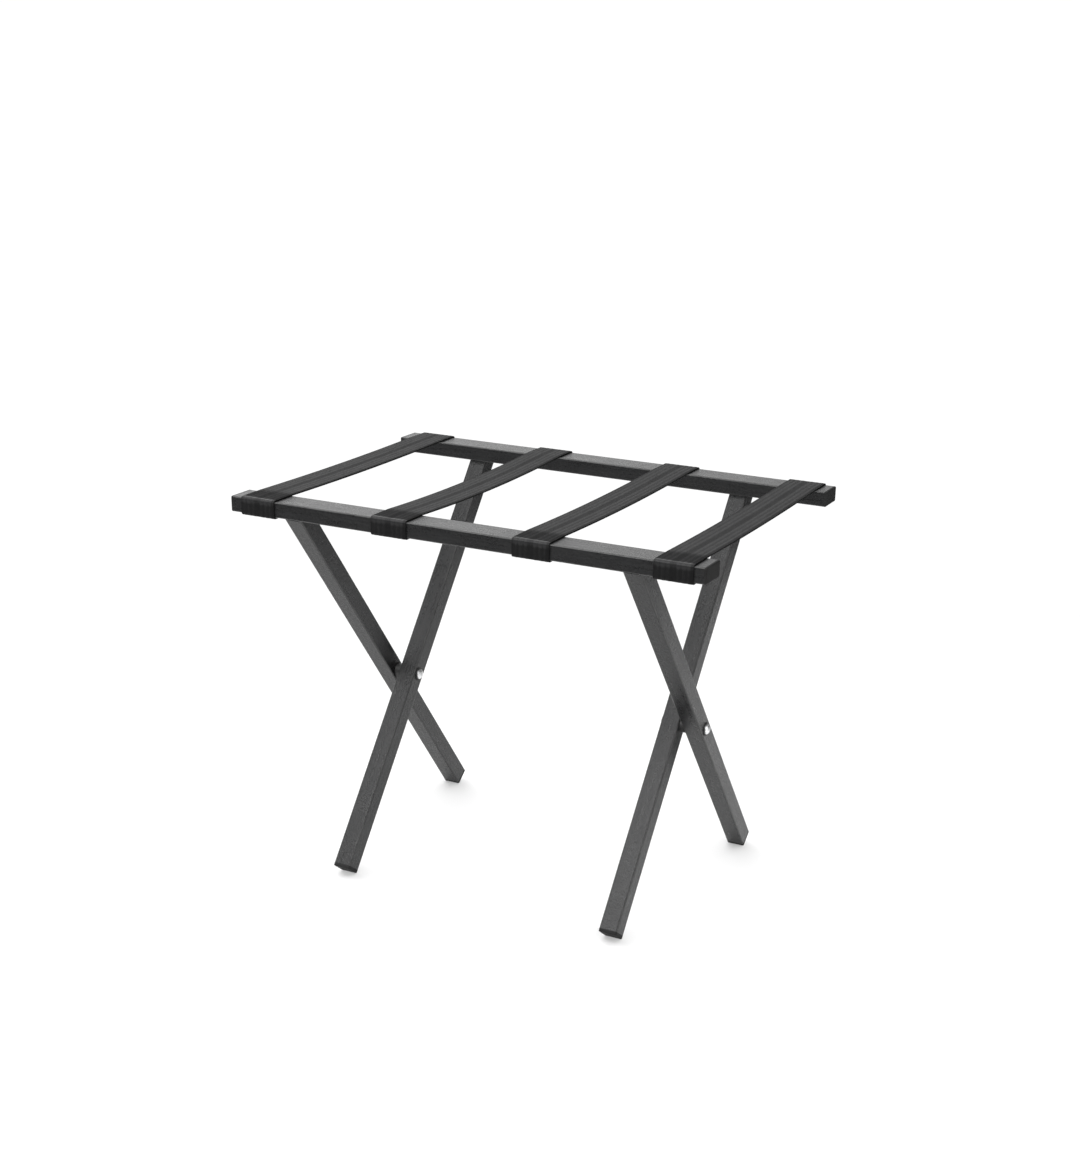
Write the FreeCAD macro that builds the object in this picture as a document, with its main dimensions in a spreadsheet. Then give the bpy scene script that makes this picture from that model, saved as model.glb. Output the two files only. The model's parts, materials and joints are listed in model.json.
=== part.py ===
import FreeCAD, Part
import os
from math import atan2, sqrt

import Sketcher
from FreeCAD import Placement, Rotation, Vector

"""Folding luggage rack: two tube frames crossed on a pivot, joined at the top by four straps.

Millimetres, +X along the rails, +Y to the back, +Z up. The origin is on the floor under the
middle of the rack. The outer frame has the front rail and the two outer legs, whose feet are at
the back. The inner frame has the back rail and the two inner legs, whose feet are at the front.
"""

SIZES = [
    # overall sizes
    ("rack_height", 520, "floor to the top of the rails"),
    ("rail_length", 650, "over the end plugs"),
    ("rail_spacing", 408, "between the rails' centre lines"),
    ("lean", 38, "legs' angle from the vertical, in degrees"),
    # rails: rectangular steel tube
    ("rail_width", 40, "across, along Y"),
    ("rail_height", 20, "along Z"),
    ("rail_wall", 1.2, "tube wall"),
    ("rail_corner", 2, "outer corner radius"),
    # legs: square steel tube
    ("leg_size", 25, "across the flats"),
    ("leg_wall", 1.2, "tube wall"),
    ("leg_corner", 2, "outer corner radius"),
    ("leg_inset", 2, "leg's outer edge to the rail's outer face, at the rail's underside"),
    ("leg_setback", 79.5, "rail's end to the outer leg's outer face"),
    ("leg_gap", 8.5, "between the two legs of a pair"),
    # plugs: plastic caps that close the tubes
    ("rail_cap", 3, "thickness of a rail plug's cap"),
    ("foot_cap", 4.5, "thickness of a foot plug's cap"),
    ("plug_round", 1.6, "radius of a cap's rim"),
    ("plug_depth", 14, "length of the sleeve inside the tube"),
    ("plug_wall", 1.4, "wall of the sleeve"),
    ("plug_play", 0.1, "between a fin and the tube, each side"),
    ("fin_height", 0.8, "how far a fin stands out of the sleeve"),
    ("fin_thickness", 1, "along the tube"),
    ("fin_pitch", 4, "from fin to fin"),
    # pivots: a screw in a sleeve nut, through both legs
    ("sleeve_radius", 4, "outside of the sleeve nut's barrel"),
    ("sleeve_head_radius", 7, "sleeve nut's domed head"),
    ("sleeve_head_edge", 0.8, "its thickness at the rim"),
    ("sleeve_head_height", 3, "its thickness in the middle"),
    ("sleeve_gap", 0.5, "barrel's end to the screw's head"),
    ("screw_radius", 3, "pivot screw's thread"),
    ("screw_length", 22, "under the head"),
    ("screw_head_radius", 7, "pivot screw's domed head"),
    ("screw_head_edge", 1, "its thickness at the rim"),
    ("screw_head_height", 4.4, "its thickness in the middle"),
    ("recess_span", 6.4, "cross recess in both heads, from tip to tip"),
    ("recess_slot", 1.5, "width of its slots"),
    ("recess_depth", 1.6, "its depth below the top of the head"),
    ("thread_play", 0.05, "pivot screw to the nut's thread, on the radius"),
    ("bore_play", 0.06, "barrel to every bore that it passes through, on the radius"),
    ("washer_radius", 9, "plastic washers under both heads"),
    ("washer_thickness", 1, "their thickness"),
    ("spacer_radius", 10, "plastic spacer between the legs"),
    ("side_play", 0.2, "beside an inner leg, between it and the washer or the spacer"),
    # straps: webbing over both rails, screwed on from below
    ("strap_width", 50, "width of the webbing"),
    ("strap_thickness", 2, "thickness of the webbing"),
    ("strap_tail", 26, "reach under the rail, from its outer face"),
    ("strap_bend_relief", 0.3, "rail's corner radius less the strap's inner bend"),
    ("strap_end_gap", 0.3, "span to the loop on the inner frame"),
    ("strap_1_end", 17, "rail's left end to strap 1's edge"),
    ("strap_2_x", -91, "middle of strap 2"),
    ("strap_3_x", 103.5, "middle of strap 3"),
    ("strap_4_end", 15, "rail's right end to strap 4's edge"),
    ("strap_1_sag", 2, "dip of strap 1 between the rails"),
    ("strap_2_sag", 4.5, "dip of strap 2"),
    ("strap_3_sag", 3, "dip of strap 3"),
    ("strap_4_sag", 2, "dip of strap 4"),
    # strap screws
    ("strap_screw_pitch", 28, "between a strap's two screws"),
    ("strap_screw_inset", 16, "screw's axis to the rail's outer face"),
    ("strap_screw_radius", 2, "thread of a strap screw"),
    ("strap_screw_length", 9, "under the head"),
    ("strap_screw_play", 0.05, "thread to its holes, on the radius"),
    ("strap_screw_head_radius", 4.5, "head of a strap screw"),
    ("strap_screw_head_height", 1.8, "its thickness"),
]

# where the main pieces meet, worked out from the sheet's values
UNDERSIDE = "(Sizes.rack_height - Sizes.rail_height)"
RAIL_OUTER = "(Sizes.rail_spacing / 2 + Sizes.rail_width / 2)"
RAIL_INNER = "(Sizes.rail_spacing / 2 - Sizes.rail_width / 2)"
LEG_HALF = "(Sizes.leg_size / 2)"
LEG_TOP_Y = f"({RAIL_OUTER} - Sizes.leg_inset - {LEG_HALF} / cos(Sizes.lean))"
PIVOT_Z = f"({UNDERSIDE} - {LEG_TOP_Y} / tan(Sizes.lean))"
LEG_UPPER = f"({LEG_TOP_Y} / sin(Sizes.lean))"
LEG_LOWER = (
    f"(({PIVOT_Z} - ({LEG_HALF} - Sizes.plug_round) * sin(Sizes.lean) - Sizes.plug_round)"
    " / cos(Sizes.lean) + Sizes.plug_round - Sizes.foot_cap)"
)
OUTER_FACE_X = "(Sizes.rail_length / 2 - Sizes.leg_setback)"
BORE = "(Sizes.sleeve_radius + Sizes.bore_play)"
STRAP_TOP = "(Sizes.rack_height + Sizes.strap_thickness)"

# sides of the rack, and which way each frame's legs lean
FRONT, BACK = -1, 1
LEFT, RIGHT = -1, 1
OUTER, INNER = 1, -1
# which way a pivot's head faces, from its leg
OUTWARD, INWARD = 1, -1
# sides of an arc that its centre is on, going round an outline counter-clockwise
CENTRE_LEFT, CENTRE_RIGHT = 1, -1

# places along the rails: the legs' centres from the middle, and the straps' centres
LEG_X = {
    OUTER: f"({OUTER_FACE_X} - {LEG_HALF})",
    INNER: f"({OUTER_FACE_X} - {LEG_HALF} - Sizes.leg_size - Sizes.leg_gap)",
}
STRAP_X = {
    1: "(Sizes.strap_1_end + Sizes.strap_width / 2 - Sizes.rail_length / 2)",
    2: "Sizes.strap_2_x",
    3: "Sizes.strap_3_x",
    4: "(Sizes.rail_length / 2 - Sizes.strap_4_end - Sizes.strap_width / 2)",
}

ORIGIN_POINT, X_AXIS, Y_AXIS = -1, -1, -2
START, END = 1, 2
TOUCHING = 1e-4

doc = FreeCAD.newDocument("LuggageRack")
sheet = doc.addObject("Spreadsheet::Sheet", "Sizes")
made = []


def fill_sheet():
    """Write every driving size into the sheet, with its name and what it is."""
    for row, (name, size, meaning) in enumerate(SIZES, 1):
        sheet.set(f"A{row}", name)
        sheet.set(f"B{row}", str(size))
        sheet.set(f"C{row}", meaning)
        sheet.setAlias(f"B{row}", name)
    doc.recompute()


def value(expression):
    """The number that an expression on the sheet gives."""
    result = sheet.evalExpression(expression)
    return float(getattr(result, "Value", result))


# bodies, sketches and features


def new_body(name):
    """A body that becomes one sub-part, in a file with this name."""
    body = doc.addObject("PartDesign::Body", name)
    body.Label = name
    made.append(body)
    return body


def place(body, **places):
    """Bind a body's place to expressions for x, y and z."""
    for axis, expression in places.items():
        body.setExpression(f"Placement.Base.{axis}", expression)


def turn(body, axis, expression):
    """Bind a body's turn about an axis, in degrees."""
    body.Placement = Placement(Vector(), Rotation(axis, 1))
    body.setExpression("Placement.Rotation.Angle", expression)


def new_sketch(body, name, role, offset="0"):
    """A sketch on one of the body's own origin planes, moved along its normal."""
    planes = [feature for feature in body.Origin.OriginFeatures if feature.Role == role]
    sketch = body.newObject("Sketcher::SketchObject", name)
    sketch.AttachmentSupport = [(planes[0], "")]
    sketch.MapMode = "FlatFace"
    sketch.setExpression("AttachmentOffset.Base.z", offset)
    return sketch


def pin(sketch, geometry, point, direction, expression):
    """Hold one coordinate of a point at an expression."""
    if abs(value(expression)) < TOUCHING:
        axis = Y_AXIS if direction == "DistanceX" else X_AXIS
        sketch.addConstraint(Sketcher.Constraint("PointOnObject", geometry, point, axis))
        return
    distance = Sketcher.Constraint(
        direction, ORIGIN_POINT, START, geometry, point, value(expression)
    )
    index = sketch.addConstraint(distance)
    sketch.setExpression(f"Constraints[{index}]", expression)


def arc_between(start, end, radius, side):
    """The arc from start to end whose centre lies to the left or to the right of that way."""
    middle = (start + end) / 2
    along = (end - start) / 2
    rise = sqrt(radius**2 - along.Length**2)
    left = Vector(-along.y, along.x, 0).normalize()
    centre = middle + left * rise * side
    first, last = (start, end) if side == CENTRE_LEFT else (end, start)
    angles = [atan2(point.y - centre.y, point.x - centre.x) for point in (first, last)]
    return Part.ArcOfCircle(Part.Circle(centre, Vector(0, 0, 1), radius), *angles)


def outline(sketch, corners, arcs=None):
    """A closed outline through corners given as pairs of expressions.

    arcs maps a side's number to its radius and the side its centre is on; other sides are straight.
    """
    arcs = arcs or {}
    points = [Vector(value(x), value(y), 0) for x, y in corners]
    ends = []
    for number, start in enumerate(points):
        end = points[(number + 1) % len(points)]
        radius, side = arcs.get(number, (None, CENTRE_LEFT))
        if radius:
            shape = arc_between(start, end, value(radius), side)
        else:
            shape = Part.LineSegment(start, end)
        geometry = sketch.addGeometry(shape)
        ends.append((geometry, START, END) if side == CENTRE_LEFT else (geometry, END, START))
        if radius:
            index = sketch.addConstraint(
                Sketcher.Constraint("Radius", geometry, value(radius))
            )
            sketch.setExpression(f"Constraints[{index}]", radius)
    for number, (geometry, first, last) in enumerate(ends):
        after, after_first, _ = ends[(number + 1) % len(ends)]
        sketch.addConstraint(
            Sketcher.Constraint("Coincident", geometry, last, after, after_first)
        )
        pin(sketch, geometry, first, "DistanceX", corners[number][0])
        pin(sketch, geometry, first, "DistanceY", corners[number][1])


def rectangle(sketch, width, height):
    """A rectangle about the sketch's origin."""
    across, up = f"({width}) / 2", f"({height}) / 2"
    outline(
        sketch,
        [
            (f"-({across})", f"-({up})"),
            (across, f"-({up})"),
            (across, up),
            (f"-({across})", up),
        ],
    )


def circle(sketch, radius, x="0", y="0"):
    """A circle with its centre at x and y."""
    centre = Vector(value(x), value(y), 0)
    geometry = sketch.addGeometry(Part.Circle(centre, Vector(0, 0, 1), value(radius)))
    pin(sketch, geometry, 3, "DistanceX", x)
    pin(sketch, geometry, 3, "DistanceY", y)
    index = sketch.addConstraint(Sketcher.Constraint("Radius", geometry, value(radius)))
    sketch.setExpression(f"Constraints[{index}]", radius)


def pad(body, sketch, length, symmetric=False, reverse=False):
    """Extrude a sketch."""
    feature = body.newObject("PartDesign::Pad", f"{sketch.Name}_pad")
    feature.Profile = sketch
    feature.SideType = "Symmetric" if symmetric else "One side"
    feature.Reversed = reverse
    feature.setExpression("Length", length)
    doc.recompute()


def cut(body, sketch, depth=None, both_ways=False, reverse=False):
    """Cut a sketch out of a body, to a depth or right through; it has to cut something."""
    before = body.Shape.Volume
    feature = body.newObject("PartDesign::Pocket", f"{sketch.Name}_cut")
    feature.Profile = sketch
    feature.SideType = "Symmetric" if both_ways else "One side"
    feature.Reversed = reverse
    if depth:
        feature.setExpression("Length", depth)
    else:
        feature.Type = "ThroughAll"
    doc.recompute()
    if not body.Shape.Volume < before - TOUCHING:
        raise RuntimeError(f"{body.Label}: {sketch.Name} cuts nothing")


def spin(body, sketch):
    """Revolve a sketch about its vertical axis."""
    feature = body.newObject("PartDesign::Revolution", f"{sketch.Name}_turned")
    feature.Profile = sketch
    feature.ReferenceAxis = (sketch, ["V_Axis"])
    feature.Angle = 360
    doc.recompute()


def edges_through(body, places):
    """Names of the body's edges that pass through the given places, in the body's own frame."""
    names = []
    for number, edge in enumerate(body.Tip.Shape.Edges, 1):
        if any(edge.distToShape(Part.Vertex(at))[0] < TOUCHING for at in places):
            names.append(f"Edge{number}")
    return names


def round_edges(body, name, radius, places):
    """Fillet the edges that pass through the given places."""
    edges = edges_through(body, places)
    if not edges:
        raise RuntimeError(f"{body.Label}: {name} finds no edge")
    base = body.Tip
    feature = body.newObject("PartDesign::Fillet", name)
    feature.Base = (base, edges)
    feature.setExpression("Radius", radius)
    doc.recompute()


def corners_of(width, height, at=0.0):
    """The four corners of a rectangle about the Z axis, at a level."""
    x, y = value(width) / 2, value(height) / 2
    return [Vector(sx * x, sy * y, at) for sx in (-1, 1) for sy in (-1, 1)]


# tubes


def rail(name, side):
    """A rectangular tube with holes for the strap screws in its underside."""
    body = new_body(name)
    bore_width = "Sizes.rail_width - 2 * Sizes.rail_wall"
    bore_height = "Sizes.rail_height - 2 * Sizes.rail_wall"
    section = new_sketch(body, f"{name}_section", "YZ_Plane")
    rectangle(section, "Sizes.rail_width", "Sizes.rail_height")
    rectangle(section, bore_width, bore_height)
    pad(body, section, "Sizes.rail_length - 2 * Sizes.rail_cap", symmetric=True)
    outer = corners_of("Sizes.rail_width", "Sizes.rail_height")
    inner = corners_of(bore_width, bore_height)
    round_edges(body, f"{name}_outside", "Sizes.rail_corner", [stand_up(at) for at in outer])
    inner_radius = "Sizes.rail_corner - Sizes.rail_wall"
    round_edges(body, f"{name}_inside", inner_radius, [stand_up(at) for at in inner])
    holes = new_sketch(body, f"{name}_screw_holes", "XY_Plane")
    for x, y in strap_screw_places(side):
        circle(holes, "Sizes.strap_screw_radius + Sizes.strap_screw_play", x, y)
    cut(body, holes)
    place(body, y=f"{side} * Sizes.rail_spacing / 2", z=f"{UNDERSIDE} + Sizes.rail_height / 2")


def stand_up(at):
    """A place in a section drawn across X, from its place in a section drawn across Z."""
    return Vector(at.z, at.x, at.y)


def leg(name, side, frame):
    """A square tube, cut square at the foot and to the rail's underside at the top.

    Its own origin is on the pivot's axis and its own Z runs up the leg.
    """
    body = new_body(name)
    bore_size = "Sizes.leg_size - 2 * Sizes.leg_wall"
    section = new_sketch(body, f"{name}_section", "XY_Plane", f"-({LEG_LOWER})")
    rectangle(section, "Sizes.leg_size", "Sizes.leg_size")
    rectangle(section, bore_size, bore_size)
    pad(body, section, f"{LEG_LOWER} + {LEG_UPPER} + {LEG_HALF} * tan(Sizes.lean)")
    outer = corners_of("Sizes.leg_size", "Sizes.leg_size")
    inner = corners_of(bore_size, bore_size)
    round_edges(body, f"{name}_outside", "Sizes.leg_corner", outer)
    round_edges(body, f"{name}_inside", "Sizes.leg_corner - Sizes.leg_wall", inner)
    top = new_sketch(body, f"{name}_top", "YZ_Plane")
    rise = f"{frame} * Sizes.leg_size * tan(Sizes.lean)"
    outline(
        top,
        [
            ("-Sizes.leg_size", f"{LEG_UPPER} + {rise}"),
            ("Sizes.leg_size", f"{LEG_UPPER} - {rise}"),
            ("Sizes.leg_size", f"{LEG_UPPER} + 2 * Sizes.leg_size"),
            ("-Sizes.leg_size", f"{LEG_UPPER} + 2 * Sizes.leg_size"),
        ],
    )
    cut(body, top, both_ways=True)
    bore = new_sketch(body, f"{name}_pivot_bore", "YZ_Plane")
    circle(bore, BORE)
    cut(body, bore, both_ways=True)
    turn(body, Vector(1, 0, 0), f"{frame} * Sizes.lean")
    place(body, x=f"{side} * {LEG_X[frame]}", z=PIVOT_Z)


# plugs


def plug(name, width, height, thickness, wall, corner):
    """A cap with a rounded rim, and a finned sleeve inside the tube. Its own Z points outward.

    The fins keep clear of the tube's walls and of the rounding in its inner corners.
    """
    body = new_body(name)
    cap = new_sketch(body, f"{name}_cap", "XY_Plane")
    rectangle(cap, width, height)
    pad(body, cap, thickness)
    middle = value(thickness) / 2
    round_edges(body, f"{name}_corners", corner, corners_of(width, height, middle))
    rim = Vector(value(width) / 2, 0, value(thickness))
    round_edges(body, f"{name}_rim", "Sizes.plug_round", [rim])
    clear_of_corners = f"({corner} - {wall}) * (1 - 1 / sqrt(2))"
    shrink = f"2 * ({wall} + Sizes.plug_play + {clear_of_corners})"
    sleeve_shrink = f"({shrink} + 2 * Sizes.fin_height)"
    hollow_shrink = f"({sleeve_shrink} + 2 * Sizes.plug_wall)"
    sleeve = new_sketch(body, f"{name}_sleeve", "XY_Plane")
    rectangle(sleeve, f"{width} - {sleeve_shrink}", f"{height} - {sleeve_shrink}")
    rectangle(sleeve, f"{width} - {hollow_shrink}", f"{height} - {hollow_shrink}")
    pad(body, sleeve, "Sizes.plug_depth", reverse=True)
    for number in (1, 2, 3):
        offset = f"-{number} * Sizes.fin_pitch"
        fin = new_sketch(body, f"{name}_fin_{number}", "XY_Plane", offset)
        rectangle(fin, f"{width} - {shrink}", f"{height} - {shrink}")
        rectangle(fin, f"{width} - {hollow_shrink}", f"{height} - {hollow_shrink}")
        pad(body, fin, "Sizes.fin_thickness", reverse=True)
    return body


def rail_plug(name, rail_side, end):
    """Closes one end of a rail."""
    body = plug(
        name,
        "Sizes.rail_height",
        "Sizes.rail_width",
        "Sizes.rail_cap",
        "Sizes.rail_wall",
        "Sizes.rail_corner",
    )
    turn(body, Vector(0, 1, 0), f"{end} * 90")
    place(
        body,
        x=f"{end} * (Sizes.rail_length / 2 - Sizes.rail_cap)",
        y=f"{rail_side} * Sizes.rail_spacing / 2",
        z=f"{UNDERSIDE} + Sizes.rail_height / 2",
    )


def foot_plug(name, side, frame):
    """Closes the foot of a leg; the lowest line of its rim touches the floor."""
    body = plug(
        name,
        "Sizes.leg_size",
        "Sizes.leg_size",
        "Sizes.foot_cap",
        "Sizes.leg_wall",
        "Sizes.leg_corner",
    )
    turn(body, Vector(1, 0, 0), f"180 + {frame} * Sizes.lean")
    place(
        body,
        x=f"{side} * {LEG_X[frame]}",
        y=f"{frame} * {LEG_LOWER} * sin(Sizes.lean)",
        z=f"{PIVOT_Z} - {LEG_LOWER} * cos(Sizes.lean)",
    )


# pivots: each piece's own Z points away from the middle of the rack, from the outer leg's face


def on_pivot(body, side):
    """Put a piece of a pivot on its axis."""
    turn(body, Vector(0, 1, 0), f"{side} * 90")
    place(body, x=f"{side} * {OUTER_FACE_X}", z=PIVOT_Z)


def dome(radius, rim, height):
    """Radius of the arc over a domed head that is tangent to its top."""
    rise = f"({height} - {rim})"
    return f"({radius}^2 + {rise}^2) / (2 * {rise})"


def ring(name, side, radius, bottom, top):
    """A flat ring round the barrel, from one level to another."""
    body = new_body(name)
    section = new_sketch(body, f"{name}_section", "XZ_Plane")
    outline(section, [(BORE, bottom), (radius, bottom), (radius, top), (BORE, top)])
    spin(body, section)
    on_pivot(body, side)


def cross_recess(body, top, facing):
    """Cut a cross for a screwdriver into the head whose top is at a level."""
    slots = new_sketch(body, f"{body.Label}_recess", "XY_Plane", top)
    tip, half = "(Sizes.recess_span / 2)", "(Sizes.recess_slot / 2)"
    outline(
        slots,
        [
            (tip, f"-{half}"),
            (tip, half),
            (half, half),
            (half, tip),
            (f"-{half}", tip),
            (f"-{half}", half),
            (f"-{tip}", half),
            (f"-{tip}", f"-{half}"),
            (f"-{half}", f"-{half}"),
            (f"-{half}", f"-{tip}"),
            (half, f"-{tip}"),
            (half, f"-{half}"),
        ],
    )
    cut(body, slots, "Sizes.recess_depth", reverse=facing == INWARD)


def pivot_screw(name, side):
    """A domed screw with a cross recess."""
    body = new_body(name)
    seat = "Sizes.washer_thickness"
    head, radius = "Sizes.screw_head_radius", "Sizes.screw_radius"
    profile = new_sketch(body, f"{name}_profile", "XZ_Plane")
    outline(
        profile,
        [
            ("0", f"{seat} - Sizes.screw_length"),
            (radius, f"{seat} - Sizes.screw_length"),
            (radius, seat),
            (head, seat),
            (head, f"{seat} + Sizes.screw_head_edge"),
            ("0", f"{seat} + Sizes.screw_head_height"),
        ],
        {4: (dome(head, "Sizes.screw_head_edge", "Sizes.screw_head_height"), CENTRE_LEFT)},
    )
    spin(body, profile)
    cross_recess(body, f"{seat} + Sizes.screw_head_height", OUTWARD)
    on_pivot(body, side)


def sleeve_nut(name, side):
    """A blind, threaded barrel through both legs, with a low domed head on the inner side."""
    body = new_body(name)
    seat = f"-(Sizes.leg_gap + 2 * Sizes.leg_size + Sizes.side_play + Sizes.washer_thickness)"
    end = "(Sizes.washer_thickness - Sizes.sleeve_gap)"
    thread = "(Sizes.screw_radius + Sizes.thread_play)"
    floor = "(Sizes.washer_thickness - Sizes.screw_length - 2 * Sizes.screw_radius)"
    head = "Sizes.sleeve_head_radius"
    profile = new_sketch(body, f"{name}_profile", "XZ_Plane")
    outline(
        profile,
        [
            ("0", f"{seat} - Sizes.sleeve_head_height"),
            (head, f"{seat} - Sizes.sleeve_head_edge"),
            (head, seat),
            ("Sizes.sleeve_radius", seat),
            ("Sizes.sleeve_radius", end),
            (thread, end),
            (thread, floor),
            ("0", floor),
        ],
        {0: (dome(head, "Sizes.sleeve_head_edge", "Sizes.sleeve_head_height"), CENTRE_LEFT)},
    )
    spin(body, profile)
    cross_recess(body, f"{seat} - Sizes.sleeve_head_height", INWARD)
    on_pivot(body, side)


def pivot(word, side):
    """The screw, sleeve nut, washers and spacer that join one pair of legs."""
    outer_leg_inner_face = "-Sizes.leg_size"
    inner_leg_outer_face = f"-(Sizes.leg_size + Sizes.leg_gap)"
    inner_leg_inner_face = f"-(2 * Sizes.leg_size + Sizes.leg_gap)"
    washer_outer_face = f"{inner_leg_inner_face} - Sizes.side_play"
    pivot_screw(f"{word}_pivot_screw", side)
    sleeve_nut(f"{word}_pivot_sleeve_nut", side)
    ring(f"{word}_outer_washer", side, "Sizes.washer_radius", "0", "Sizes.washer_thickness")
    ring(
        f"{word}_pivot_spacer",
        side,
        "Sizes.spacer_radius",
        f"{inner_leg_outer_face} + Sizes.side_play",
        outer_leg_inner_face,
    )
    ring(
        f"{word}_inner_washer",
        side,
        "Sizes.washer_radius",
        f"{washer_outer_face} - Sizes.washer_thickness",
        washer_outer_face,
    )


# straps


def strap_screw_places(side):
    """Pairs of x, and y from the rail's centre line, for one rail's strap screws."""
    inset = f"{side} * (Sizes.rail_width / 2 - Sizes.strap_screw_inset)"
    return [
        (f"{middle} + {hand} * Sizes.strap_screw_pitch / 2", inset)
        for middle in STRAP_X.values()
        for hand in (LEFT, RIGHT)
    ]


def strap_loop(name, number, side):
    """The end of a strap: over the rail, down its outer face and back under it."""
    body = new_body(name)
    rail_top, thick = "Sizes.rack_height", "Sizes.strap_thickness"
    inner_y = f"{side} * {RAIL_INNER}"
    outer_y = f"{side} * {RAIL_OUTER}"
    skin_y = f"{side} * ({RAIL_OUTER} + {thick})"
    tail_y = f"{side} * ({RAIL_OUTER} - Sizes.strap_tail)"
    bottom = f"{UNDERSIDE} - {thick}"
    profile = new_sketch(body, f"{name}_profile", "YZ_Plane")
    outline(
        profile,
        [
            (inner_y, rail_top),
            (outer_y, rail_top),
            (outer_y, UNDERSIDE),
            (tail_y, UNDERSIDE),
            (tail_y, bottom),
            (skin_y, bottom),
            (skin_y, STRAP_TOP),
            (inner_y, STRAP_TOP),
        ][:: 1 if side == BACK else -1],
    )
    pad(body, profile, "Sizes.strap_width", symmetric=True)
    inside = [Vector(0, value(outer_y), value(z)) for z in (rail_top, UNDERSIDE)]
    outside = [Vector(0, value(skin_y), value(z)) for z in (STRAP_TOP, bottom)]
    bend = "Sizes.rail_corner - Sizes.strap_bend_relief"
    round_edges(body, f"{name}_inner_bends", bend, inside)
    round_edges(body, f"{name}_outer_bends", f"{bend} + {thick}", outside)
    holes = new_sketch(body, f"{name}_screw_holes", "XY_Plane", UNDERSIDE)
    for hand in (LEFT, RIGHT):
        circle(
            holes,
            "Sizes.strap_screw_radius + Sizes.strap_screw_play",
            f"{hand} * Sizes.strap_screw_pitch / 2",
            f"{side} * ({RAIL_OUTER} - Sizes.strap_screw_inset)",
        )
    cut(body, holes)
    place(body, x=STRAP_X[number])


def strap_span(name, number):
    """The stretch of a strap between the rails, dipping in the middle."""
    body = new_body(name)
    start, end = f"-{RAIL_INNER}", f"{RAIL_INNER} - Sizes.strap_end_gap"
    half = f"({RAIL_INNER} - Sizes.strap_end_gap / 2)"
    dip = f"Sizes.strap_{number}_sag"
    radius = f"({half}^2 + {dip}^2) / (2 * {dip})"
    profile = new_sketch(body, f"{name}_profile", "YZ_Plane")
    outline(
        profile,
        [
            (start, "Sizes.rack_height"),
            (end, "Sizes.rack_height"),
            (end, STRAP_TOP),
            (start, STRAP_TOP),
        ],
        {0: (radius, CENTRE_LEFT), 2: (radius, CENTRE_RIGHT)},
    )
    pad(body, profile, "Sizes.strap_width", symmetric=True)
    place(body, x=STRAP_X[number])


def strap_screws(name, side):
    """The screws that hold the straps' ends under one rail, as one group of separate solids."""
    body = new_body(name)
    body.AllowCompound = True
    thread = new_sketch(body, f"{name}_threads", "XY_Plane")
    heads = new_sketch(body, f"{name}_heads", "XY_Plane")
    for x, y in strap_screw_places(side):
        circle(thread, "Sizes.strap_screw_radius", x, y)
        circle(heads, "Sizes.strap_screw_head_radius", x, y)
    pad(body, heads, "Sizes.strap_screw_head_height", reverse=True)
    below = value("Sizes.strap_screw_head_height")
    rims = [
        Vector(value(x) + value("Sizes.strap_screw_head_radius"), value(y), -below)
        for x, y in strap_screw_places(side)
    ]
    round_edges(body, f"{name}_rims", "Sizes.strap_screw_head_height * 0.8", rims)
    pad(body, thread, "Sizes.strap_screw_length")
    place(
        body,
        y=f"{side} * Sizes.rail_spacing / 2",
        z=f"{UNDERSIDE} - Sizes.strap_thickness",
    )


def check_and_write():
    """Stop on any failed object or sub-part, then write one STEP file for each sub-part."""
    doc.recompute()
    for thing in doc.Objects:
        if {"Invalid", "Error"} & set(thing.State):
            raise RuntimeError(f"{thing.Label} is {thing.State}")
    for body in made:
        if body.Shape.isNull() or not body.Shape.isValid():
            raise RuntimeError(f"{body.Label} has no valid shape")
    os.makedirs("parts", exist_ok=True)
    for body in made:
        body.Shape.exportStep(f"parts/{body.Label}.step")


def main():
    """Build the rack, frame by frame, and write its sub-parts."""
    fill_sheet()
    for word, side in (("front", FRONT), ("back", BACK)):
        rail(f"{word}_rail", side)
        for hand, end in (("left", LEFT), ("right", RIGHT)):
            rail_plug(f"{word}_rail_{hand}_plug", side, end)
        for number in STRAP_X:
            strap_loop(f"strap_{number}_{word}_loop", number, side)
        strap_screws(f"{word}_strap_screws", side)
    for word, frame in (("outer", OUTER), ("inner", INNER)):
        for hand, side in (("left", LEFT), ("right", RIGHT)):
            leg(f"{word}_{hand}_leg", side, frame)
            foot_plug(f"{word}_{hand}_foot_plug", side, frame)
    for hand, side in (("left", LEFT), ("right", RIGHT)):
        pivot(hand, side)
    for number in STRAP_X:
        strap_span(f"strap_{number}_span", number)
    check_and_write()


main()
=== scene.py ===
import json
from math import asin, cos, pi, radians, sin

import bmesh
import bpy
from bpy.props import FloatProperty, FloatVectorProperty, IntProperty, PointerProperty
from mathutils import Matrix, Vector


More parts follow.
